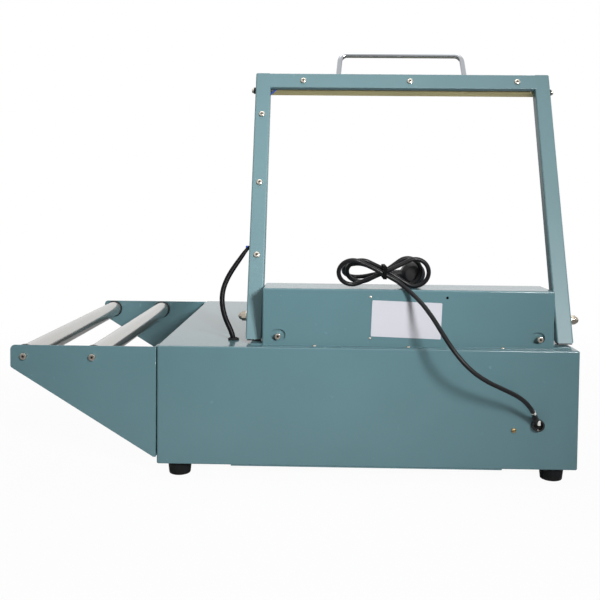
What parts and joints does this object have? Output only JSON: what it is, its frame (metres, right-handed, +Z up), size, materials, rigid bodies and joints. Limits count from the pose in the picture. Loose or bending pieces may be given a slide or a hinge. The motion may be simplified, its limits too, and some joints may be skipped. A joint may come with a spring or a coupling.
{
  "type": "l-bar bag sealer",
  "caption": "Table-top L-bar bag sealer: sheet-metal cabinet with a hinged sealing arm, film roller cradle, feet and a bundled mains lead.",
  "frame": {"origin": "on the floor under the feet, at the middle of the machine's box without its mains lead", "axes": "+X to the operator's right, where the film rollers are; -Y to the front, where the controls are; +Z up"},
  "size_m": [0.8508, 0.6123, 0.666],
  "materials": {
    "cabinet_paint": "fine-textured grey-teal powder coat",
    "arm_paint": "fine-textured grey-teal powder coat",
    "fasteners": "nickel plated",
    "steel": "plain steel",
    "bush_bronze": "sintered bronze",
    "earth_brass": "brass",
    "foot_rubber": "black rubber",
    "black_plastic": "black moulding",
    "cord_black": "black lead",
    "roller_grey": "light grey tube",
    "laminate": "olive hard laminate",
    "band_metal": "resistance alloy",
    "tape_brown": "non-stick glass cloth",
    "nylon_white": "white nylon",
    "handle_chrome": "chrome plated",
    "jaw_aluminium": "folded sheet",
    "silicone_red": "silicone",
    "rocker_red": "red rocker",
    "lamp_red": "red lens",
    "control_grey": "grey moulding",
    "coil_yellow": "wrapped winding",
    "board_green": "circuit board"
  },
  "bodies": {
    "base": {"cabinet_shell": "cabinet_paint", "bottom_cover": "cabinet_paint", "bottom_cover_screws": "fasteners", "rubber_feet": "foot_rubber", "foot_screws": "fasteners", "hinge_cover": "cabinet_paint", "hinge_cover_screws": "fasteners", "hinge_bracket_right": "cabinet_paint", "hinge_bracket_left": "cabinet_paint", "hinge_bracket_screws": "fasteners", "hinge_bushes": "bush_bronze", "spring_screws": "fasteners", "arm_switch": "black_plastic", "roller_bracket_front": "cabinet_paint", "roller_bracket_rear": "cabinet_paint", "roller_bracket_bolts": "fasteners", "roller_axles": "steel", "roller_screws": "fasteners", "table_grommet": "foot_rubber", "lower_jaws": "jaw_aluminium", "jaw_pads": "silicone_red", "power_switch": "black_plastic", "time_control": "control_grey", "pilot_lamp": "lamp_red", "transformer_core": "steel", "transformer_coil": "coil_yellow", "timer_board": "board_green", "earth_screw": "earth_brass", "cord_gland": "black_plastic", "mains_cord": "cord_black", "cord_hank": "cord_black", "hank_tie": "black_plastic", "mains_plug": "black_plastic", "lift_springs": "steel", "arm_lead": "cord_black"},
    "sealing_arm": {"arm_post_right": "arm_paint", "arm_post_left": "arm_paint", "front_bar": "arm_paint", "front_carrier": "laminate", "side_carrier": "laminate", "heating_bands": "band_metal", "seal_tapes": "tape_brown", "bar_spacers": "nylon_white", "carrier_screws": "fasteners", "terminal_bushes": "black_plastic", "terminal_screws": "fasteners", "arm_handle": "handle_chrome", "handle_screws": "fasteners", "pivot_shafts": "steel", "pivot_spacers": "nylon_white", "pivot_washers": "fasteners", "dome_nuts": "fasteners", "lift_cranks": "steel"},
    "inner_roller": {"inner_roller": "roller_grey", "inner_roller_caps": "black_plastic"},
    "outer_roller": {"outer_roller": "roller_grey", "outer_roller_caps": "black_plastic"},
    "power_rocker": {"power_rocker": "rocker_red"},
    "time_knob": {"time_knob": "black_plastic"},
    "arm_switch_plunger": {"arm_switch_plunger": "rocker_red"}
  },
  "joints": [
    {"name": "arm_hinge", "type": "hinge", "parent": "base", "child": "sealing_arm", "pos_m": [-0.10205, 0.213, 0.236], "axis": [1, 0, 0], "range_deg": [0, 69], "stiffness_Nm_per_rad": 6, "springref_deg": -60.16, "deforming": ["lift_springs", "arm_lead"]},
    {"name": "inner_roller_spin", "type": "hinge", "parent": "base", "child": "inner_roller", "pos_m": [0.30295, 0.0065, 0.18], "axis": [0, 1, 0], "continuous": true},
    {"name": "outer_roller_spin", "type": "hinge", "parent": "base", "child": "outer_roller", "pos_m": [0.40495, 0.0065, 0.18], "axis": [0, 1, 0], "continuous": true},
    {"name": "rocker_tilt", "type": "hinge", "parent": "base", "child": "power_rocker", "pos_m": [0.06395, -0.2495, 0.114], "axis": [-1, 0, 0], "range_deg": [0, 16]},
    {"name": "timer_turn", "type": "hinge", "parent": "base", "child": "time_knob", "pos_m": [0.10995, -0.2535, 0.114], "axis": [0, 1, 0], "range_deg": [0, 270]},
    {"name": "plunger_press", "type": "slide", "parent": "base", "child": "arm_switch_plunger", "axis": [0, 0, -1], "range_m": [0, 0.0015], "stiffness_N_per_m": 300, "springref_m": -0.003}
  ]
}
